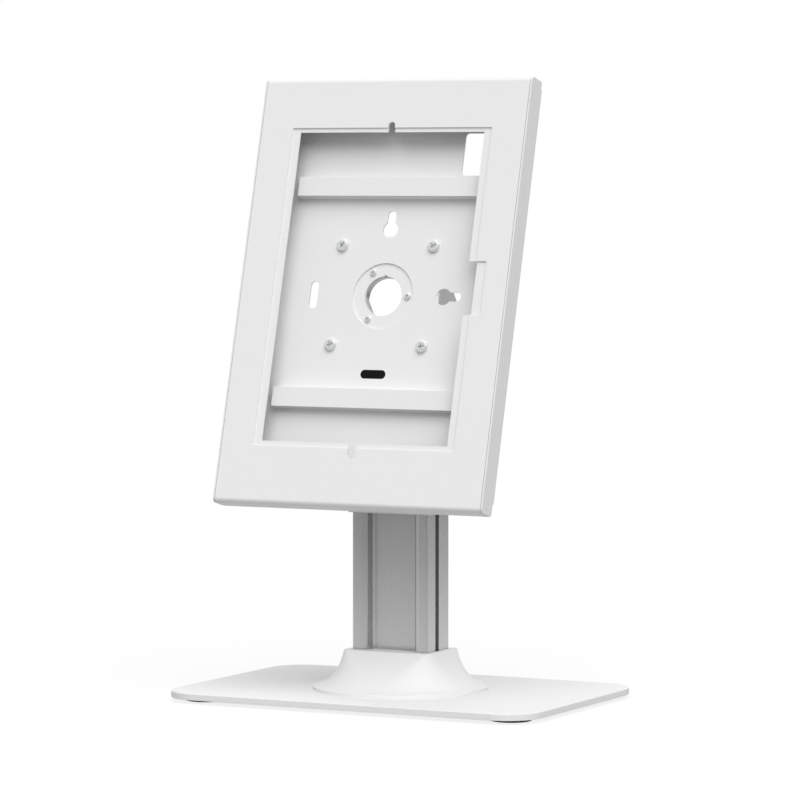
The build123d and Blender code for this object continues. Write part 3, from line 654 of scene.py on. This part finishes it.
# Socket screws: buttons at the column's slots and the tilt stops, pinned ones on the cover
socketRolls = (10.0, 25.0, 40.0, 5.0)
buttonScrew = {
    "headRadius": 4.75, "headHeight": 2.73, "rise": 2.2, "squareness": 1.0, "domeSteps": 9,
    "chamfer": 0.15, "shankRadius": 2.5, "socketWidth": 3.0, "socketDepth": 1.6,
}
pinnedScrew = {
    "headRadius": 3.8, "headHeight": 1.8, "rise": 1.4, "squareness": 1.0, "domeSteps": 9,
    "chamfer": 0.12, "shankRadius": 2.0, "socketWidth": 2.5, "socketDepth": 1.0, "pinRadius": 0.5,
    "pinSteps": 16,
}
for node, size, facing in (
    ("clamp_screws", buttonScrew, "sideways"), ("stop_screws", buttonScrew, "sideways"),
    ("cover_screws", pinnedScrew, upward),
):
    places = placesOf(node, facing)
    size["length"] = places[0]["length"]
    placePieces(node, socketScrew(node + "Model", size, headProfile(size)), places, socketRolls)

# Countersunk screws up through the base plate, and the feet beside them
down = Vector((0, 0, -1))
sunkScrew = {
    "headRadius": 6.0, "headHeight": 3.2, "chamfer": 0.2, "shankRadius": 3.0, "socketWidth": 4.0,
    "socketDepth": 2.0, "rolls": (12.0, 40.0, 28.0, 3.0),
}
places = placesOf("column_screws", down)
sunkScrew["length"] = places[0]["length"]
sunkRadius = sunkScrew["headRadius"] - sunkScrew["chamfer"]
sunkProfile = [(0, 0), (sunkRadius, 0), (sunkRadius, -sunkScrew["chamfer"])]
sunkProfile += shankProfile(sunkScrew, -sunkScrew["headHeight"])
sunkModel = socketScrew("sunkModel", sunkScrew, sunkProfile)
placePieces("column_screws", sunkModel, places, sunkScrew["rolls"])

footSettings = {"dish": 0.3, "dishShare": 0.6, "rim": 0.6, "rimSteps": 4, "steps": 72}
places = placesOf("rubber_feet", down)
footRadius, footHeight = places[0]["outer"], places[0]["length"]
dish, rim = footSettings["dish"], footSettings["rim"]
dishRadius = footRadius * footSettings["dishShare"]
footProfile = [(0, -dish), (dishRadius, -dish), (dishRadius + dish, 0)]
for step in range(footSettings["rimSteps"] + 1):
    angle = quarterTurn * step / footSettings["rimSteps"]
    footProfile.append((footRadius - rim * (1 - math.sin(angle)), -rim * (1 - math.cos(angle))))
footProfile += [(footRadius, -footHeight), (0, -footHeight)]
placePieces("rubber_feet", turned("footModel", footProfile, footSettings["steps"]), places)

# Nuts, chamfered alike
nutChamfers = {"faceShare": 0.93, "chamferAngle": 30.0, "lead": 0.3, "drillMargin": 1.0}
nutSettings = {
    "frame_nuts": {"acrossFlats": 5.5, "height": 2.4, "bore": 1.55, "facing": -outward},
    "clamp_nuts": {"acrossFlats": 7.0, "height": 3.2, "bore": 2.05, "facing": -upward},
    "tilt_nut": {"acrossFlats": 13.0, "height": 8.0, "bore": 4.05, "facing": Vector((1, 0, 0))},
}
for node, size in nutSettings.items():
    size.update(nutChamfers)
    placePieces(node, hexNut(node + "Model", size), placesOf(node, size["facing"]))

# Rings: washers, spacers and the head's slippery ring, with the way they face and their chamfer
ringSteps = 96
ringSettings = {
    "tilt_washers": ("sideways", 0.15), "friction_washers": ("sideways", 0.1),
    "cover_spacers": (upward, 0.15), "spacer_tube": (Vector((1, 0, 0)), 0.25),
    "turn_washer": (outward, 0.08),
}
for node, (facing, chamfer) in ringSettings.items():
    places = placesOf(node, facing)
    first = places[0]
    profile = ringProfile(first["outer"], first["inner"], first["length"], chamfer)
    placePieces(node, turned(node + "Model", profile, ringSteps), places)

pinTip = 0.25
places = placesOf("turn_stop_pin", outward)
pinRadius, pinEnd = places[0]["outer"], -places[0]["length"]
pinProfile = [
    (0, 0), (pinRadius - pinTip, 0), (pinRadius, -pinTip), (pinRadius, pinTip + pinEnd),
    (pinRadius - pinTip, pinEnd), (0, pinEnd),
]
placePieces("turn_stop_pin", turned("pinModel", pinProfile), places)

boltSettings = {
    "acrossFlats": 13.0, "height": 5.3, "flatBack": True, "faceShare": 0.93, "chamferAngle": 30.0,
    "shankRadius": 4.0, "threadDepth": 0.55, "pitch": 1.25, "threadLength": 21.7,
}
places = placesOf("tilt_bolt", Vector((-1, 0, 0)))
boltSettings["length"] = places[0]["length"]
placePieces("tilt_bolt", hexBolt("boltModel", boltSettings), places)


# Collar: one formula from the rounded rectangle at its top to the round rim, run by a Geometry
# Nodes tree. Its hole is the column's section with a gap, and heights says how many times the
# collar's own height the cutter is.
collarSettings = {
    "lengths": {
        "Top Width": 72.7, "Top Depth": 48.0, "Corner Radius": 4.0, "Rim Radius": 65.0,
        "Rim Height": 2.6, "Rim Edge": 0.6, "Height": 29.4, "Base Level": 8.0,
    },
    "counts": {"Corner Steps": 20, "Stage Rows": 26},
    "straightShare": 0.7, "topEdge": 1.2, "topSegments": 5, "wall": 2.5,
    "hole": {
        "width": 62.6, "depth": 35.0, "corner": 1.5, "recessWidth": 37.6, "recessDepth": 9.0,
        "lip": 5.4, "floor": 2.4, "gap": 0.3, "steps": 6, "edge": 0.3, "heights": 3,
    },
}


def makeCollarFlare():
    inputs = [("Geometry", "NodeSocketGeometry", None)]
    for label, value in collarSettings["lengths"].items():
        inputs.append((label, "NodeSocketFloat", value * mm))
    for label, value in collarSettings["counts"].items():
        inputs.append((label, "NodeSocketInt", value))
    inputs.append(("Straight Share", "NodeSocketFloat", collarSettings["straightShare"]))
    inputs.append(("Material", "NodeSocketMaterial", None))
    tree, given, result = newGroup(
        "collarFlare", inputs, [("Geometry", "NodeSocketGeometry")], "GeometryNodeTree"
    )
    value = given.outputs

    def calc(operation, first, second=None):
        return mathNode(tree, operation, first, second)

    def half(label):
        return calc("DIVIDE", value[label], 2.0)

    # The surface runs through four stages: rim side, rim edge, flare and top face.
    # The halves added before FLOOR keep whole numbers clear of rounding.
    rows = calc("ADD", calc("MULTIPLY", value["Stage Rows"], 4.0), 1.0)
    perCorner = calc("ADD", value["Corner Steps"], 1.0)
    grid = tree.nodes.new("GeometryNodeMeshGrid")
    feed(tree, grid.inputs["Vertices X"], calc("ADD", calc("MULTIPLY", perCorner, 4.0), 1.0))
    feed(tree, grid.inputs["Vertices Y"], rows)
    index = tree.nodes.new("GeometryNodeInputIndex").outputs[0]
    column = calc("FLOOR", calc("DIVIDE", calc("ADD", index, 0.5), rows))
    row = calc("SUBTRACT", index, calc("MULTIPLY", column, rows))
    stage = calc("DIVIDE", row, value["Stage Rows"])
    corner = calc("FLOOR", calc("DIVIDE", calc("ADD", column, 0.5), perCorner))
    step = calc("SUBTRACT", column, calc("MULTIPLY", corner, perCorner))
    turns = calc("ADD", corner, calc("DIVIDE", step, value["Corner Steps"]))
    angle = calc("MULTIPLY", turns, quarterTurn)

    def stageShare(start):
        return calc("MINIMUM", calc("MAXIMUM", calc("SUBTRACT", stage, start), 0.0), 1.0)

    rimSide = stageShare(0.0)
    rimTurn = calc("MULTIPLY", stageShare(1.0), quarterTurn)
    topScale = calc("SUBTRACT", 1.0, stageShare(3.0))
    flareHeight = calc("SUBTRACT", value["Height"], value["Rim Height"])
    flareTurn = calc("MULTIPLY", stageShare(2.0), quarterTurn)
    share = calc("COSINE", flareTurn)
    curvedShare = calc("SUBTRACT", 1.0, value["Straight Share"])
    curved = calc("MULTIPLY", curvedShare, calc("SUBTRACT", 1.0, calc("SINE", flareTurn)))
    spread = calc("ADD", calc("MULTIPLY", value["Straight Share"], share), curved)
    flareRadius = calc("SUBTRACT", value["Rim Radius"], value["Rim Edge"])
    growth = calc("MULTIPLY", calc("SUBTRACT", flareRadius, value["Corner Radius"]), spread)
    rimOut = calc("MULTIPLY", value["Rim Edge"], calc("COSINE", rimTurn))
    radius = calc("ADD", calc("ADD", value["Corner Radius"], growth), rimOut)
    diagonal = calc("MULTIPLY", calc("ADD", corner, 0.5), quarterTurn)

    def side(label, wave):
        straight = calc("SUBTRACT", half(label), value["Corner Radius"])
        flat = calc("MULTIPLY", straight, calc("SUBTRACT", 1.0, share))
        centre = calc("MULTIPLY", calc("SIGN", calc(wave, diagonal)), flat)
        reach = calc("ADD", centre, calc("MULTIPLY", radius, calc(wave, angle)))
        return calc("MULTIPLY", reach, topScale)

    rise = calc("MULTIPLY", rimSide, calc("SUBTRACT", value["Rim Height"], value["Rim Edge"]))
    rise = calc("ADD", rise, calc("MULTIPLY", value["Rim Edge"], calc("SINE", rimTurn)))
    rise = calc("ADD", rise, calc("MULTIPLY", flareHeight, calc("SUBTRACT", 1.0, share)))
    rise = calc("ADD", rise, value["Base Level"])
    place = tree.nodes.new("ShaderNodeCombineXYZ")
    sources = (side("Top Width", "COSINE"), side("Top Depth", "SINE"), rise)
    for socket, source in zip(place.inputs, sources):
        tree.links.new(source, socket)
    shape = tree.nodes.new("GeometryNodeSetPosition")
    tree.links.new(grid.outputs["Mesh"], shape.inputs["Geometry"])
    tree.links.new(place.outputs[0], shape.inputs["Position"])
    merge = tree.nodes.new("GeometryNodeMergeByDistance")
    merge.inputs["Distance"].default_value = edgeSettings["mergeDistance"]
    tree.links.new(shape.outputs[0], merge.inputs["Geometry"])
    endTree(tree, given, result, merge.outputs[0])
    return tree


# The column's section from above, with its recess and each corner rounded by its own radius
def columnOutline(size):
    gap = size["gap"]
    wide, deep = size["width"] / 2 + gap, size["depth"] / 2 + gap
    recess = size["recessWidth"] / 2 - gap
    floor = size["recessDepth"] - deep
    outer = size["corner"] + gap
    right = [
        (recess, floor, size["floor"]), (recess, -deep, size["lip"]), (wide, -deep, outer),
        (wide, deep, outer),
    ]
    corners = right + [(-x, y, radius) for x, y, radius in reversed(right)]
    points = []
    for index, (x, y, radius) in enumerate(corners):
        here = Vector((x, y))
        back = (Vector(corners[index - 1][:2]) - here).normalized()
        ahead = (Vector(corners[(index + 1) % len(corners)][:2]) - here).normalized()
        centre = here + (back + ahead) * radius
        for step in range(size["steps"] + 1):
            angle = quarterTurn * step / size["steps"]
            points.append(centre - (ahead * math.cos(angle) + back * math.sin(angle)) * radius)
    return points


def makeColumnHole(size, lengths):
    hole = bmesh.new()
    level = (lengths["Base Level"] - lengths["Height"]) * mm
    bottom = [hole.verts.new((*(point * mm), level)) for point in columnOutline(size)]
    walls = bmesh.ops.extrude_face_region(hole, geom=[hole.faces.new(bottom)])["geom"]
    lifted = [part for part in walls if isinstance(part, bmesh.types.BMVert)]
    tall = size["heights"] * lengths["Height"] * mm
    bmesh.ops.translate(hole, verts=lifted, vec=(0, 0, tall))
    bmesh.ops.recalc_face_normals(hole, faces=hole.faces)
    return newPiece("columnHole", hole)


def makeCollar():
    lengths, hole = collarSettings["lengths"], collarSettings["hole"]
    collar = newPiece("collarFlare", bmesh.new())
    values = {label: value * mm for label, value in lengths.items()}
    values.update(collarSettings["counts"])
    values["Straight Share"] = collarSettings["straightShare"]
    values["Material"] = materials[slotOf["collar"]]
    runTree(collar, makeCollarFlare(), values)
    made = bmesh.new()
    made.from_mesh(collar.data)
    bmesh.ops.dissolve_degenerate(made, edges=made.edges, dist=edgeSettings["mergeDistance"])
    bmesh.ops.recalc_face_normals(made, faces=made.faces)
    made.to_mesh(collar.data)
    made.free()
    softened(collar, collarSettings["topEdge"] * mm, collarSettings["topSegments"])
    thicken = collar.modifiers.new("wall", "SOLIDIFY")
    thicken.thickness = collarSettings["wall"] * mm
    thicken.offset = -1
    baked(collar)
    carve(collar, makeColumnHole(hole, lengths))
    softened(collar, hole["edge"] * mm)
    return dress(collar, "collar")


makeCollar()
print("pieces dressed")


# Floor, light and camera. Lengths here are in metres and angles in degrees.
cameraSettings = {
    "place": (1.4114, -2.7320, 0.3914), "turn": (86.841, 0.0, 27.331),
    "focalPixels": 4174.7, "framePixels": 800, "sensor": 36.0,
}
lightSettings = {
    "worldLight": 0.45, "sunWay": (0.32, -0.44, 0.72), "sunStrength": 2.55, "sunAngle": 60.0,
    "floorSize": 12.0, "floorColour": 0.4, "floorSeen": 0.95, "floorGlow": 0.85, "floorReach": 0.9,
    "darkWall": {"behind": 0.8, "halfWidth": 6.5, "halfHeight": 3.2, "shade": 0.05},
}
squareCorners = [(-1, -1), (1, -1), (1, 1), (-1, 1)]
cameraTurn = Euler([math.radians(angle) for angle in cameraSettings["turn"]])


# White to the camera and in reflections, and dimmer as a light on the stand
def makeWorld():
    world = bpy.data.worlds.new("studioAir")
    scene.world = world
    world.use_nodes = True
    tree = world.node_tree
    tree.nodes.clear()
    rays = tree.nodes.new("ShaderNodeLightPath")
    seen = mathNode(tree, "MAXIMUM", rays.outputs["Is Camera Ray"], rays.outputs["Is Glossy Ray"])
    strength = mathNode(tree, "MULTIPLY", seen, 1.0 - lightSettings["worldLight"])
    air = tree.nodes.new("ShaderNodeBackground")
    air.inputs["Color"].default_value = (1.0, 1.0, 1.0, 1.0)
    tree.links.new(mathNode(tree, "ADD", strength, lightSettings["worldLight"]), air.inputs["Strength"])
    out = tree.nodes.new("ShaderNodeOutputWorld")
    tree.links.new(air.outputs[0], out.inputs["Surface"])


def makeStagePlane(name, points, materialName):
    mesh = bpy.data.meshes.new(name)
    mesh.from_pydata(points, [], [(0, 1, 2, 3)])
    material = bpy.data.materials.new(materialName)
    material.use_nodes = True
    material.node_tree.nodes["Principled BSDF"].inputs["Roughness"].default_value = 1.0
    mesh.materials.append(material)
    return linked(name, mesh), material.node_tree


# The camera sees the floor white. Reflections see it fade with its distance from the stand, and
# it bounces a plain grey light on the stand.
def makeFloor():
    half = lightSettings["floorSize"] / 2
    points = [(x * half, y * half, 0) for x, y in squareCorners]
    floor, tree = makeStagePlane("floor", points, "paleFloor")
    shader = tree.nodes["Principled BSDF"]
    rays = tree.nodes.new("ShaderNodeLightPath")
    away = tree.nodes.new("ShaderNodeVectorMath")
    away.operation = "LENGTH"
    tree.links.new(tree.nodes.new("ShaderNodeTexCoord").outputs["Object"], away.inputs[0])
    reaches = mathNode(tree, "DIVIDE", away.outputs["Value"], lightSettings["floorReach"])
    squared = mathNode(tree, "MULTIPLY", reaches, reaches)
    nearness = mathNode(tree, "DIVIDE", 1.0, mathNode(tree, "ADD", squared, 1.0))
    mirrored = mathNode(tree, "MULTIPLY", rays.outputs["Is Glossy Ray"], nearness)
    seen = mathNode(tree, "MAXIMUM", rays.outputs["Is Camera Ray"], mirrored)
    notMirrored = mathNode(tree, "SUBTRACT", 1.0, rays.outputs["Is Glossy Ray"])
    plain = mathNode(tree, "MULTIPLY", notMirrored, lightSettings["floorColour"])
    white = mathNode(tree, "MULTIPLY", seen, lightSettings["floorSeen"])
    level = mathNode(tree, "MAXIMUM", white, plain)
    tree.links.new(level, shader.inputs["Base Color"])
    shader.inputs["Specular IOR Level"].default_value = 0.0
    glow = tree.nodes.new("ShaderNodeEmission")
    mix = tree.nodes.new("ShaderNodeMixShader")
    tree.links.new(mathNode(tree, "MULTIPLY", seen, lightSettings["floorGlow"]), mix.inputs["Fac"])
    tree.links.new(shader.outputs[0], mix.inputs[1])
    tree.links.new(glow.outputs[0], mix.inputs[2])
    tree.links.new(mix.outputs[0], tree.nodes["Material Output"].inputs["Surface"])


# Dark wall behind the camera. Reflections show it, and it casts no shade on the stand.
def makeDarkWall():
    size = lightSettings["darkWall"]
    aim = cameraTurn.to_matrix()
    middle = Vector(cameraSettings["place"]) + aim @ Vector((0, 0, size["behind"]))
    points = [
        middle + aim @ Vector((x * size["halfWidth"], y * size["halfHeight"], 0))
        for x, y in squareCorners
    ]
    wall, tree = makeStagePlane("darkWall", points, "darkCloth")
    colour = (size["shade"], size["shade"], size["shade"], 1.0)
    tree.nodes["Principled BSDF"].inputs["Base Color"].default_value = colour
    wall.visible_camera = False
    wall.visible_diffuse = False
    wall.visible_shadow = False


def makeSun():
    lamp = bpy.data.lights.new("softSun", "SUN")
    lamp.energy = lightSettings["sunStrength"]
    lamp.angle = math.radians(lightSettings["sunAngle"])
    way = Vector(lightSettings["sunWay"])
    linked("softSun", lamp).rotation_euler = way.to_track_quat("Z", "Y").to_euler()


def makeCamera():
    size = cameraSettings
    camera = bpy.data.cameras.new("camera")
    camera.sensor_width = size["sensor"]
    camera.lens = size["sensor"] * size["focalPixels"] / size["framePixels"]
    cameraObject = linked("camera", camera)
    cameraObject.location = size["place"]
    cameraObject.rotation_euler = cameraTurn
    scene.camera = cameraObject


makeWorld()
makeFloor()
makeDarkWall()
makeSun()
makeCamera()
scene.view_settings.view_transform = "Standard"
print("floor, light and camera placed")
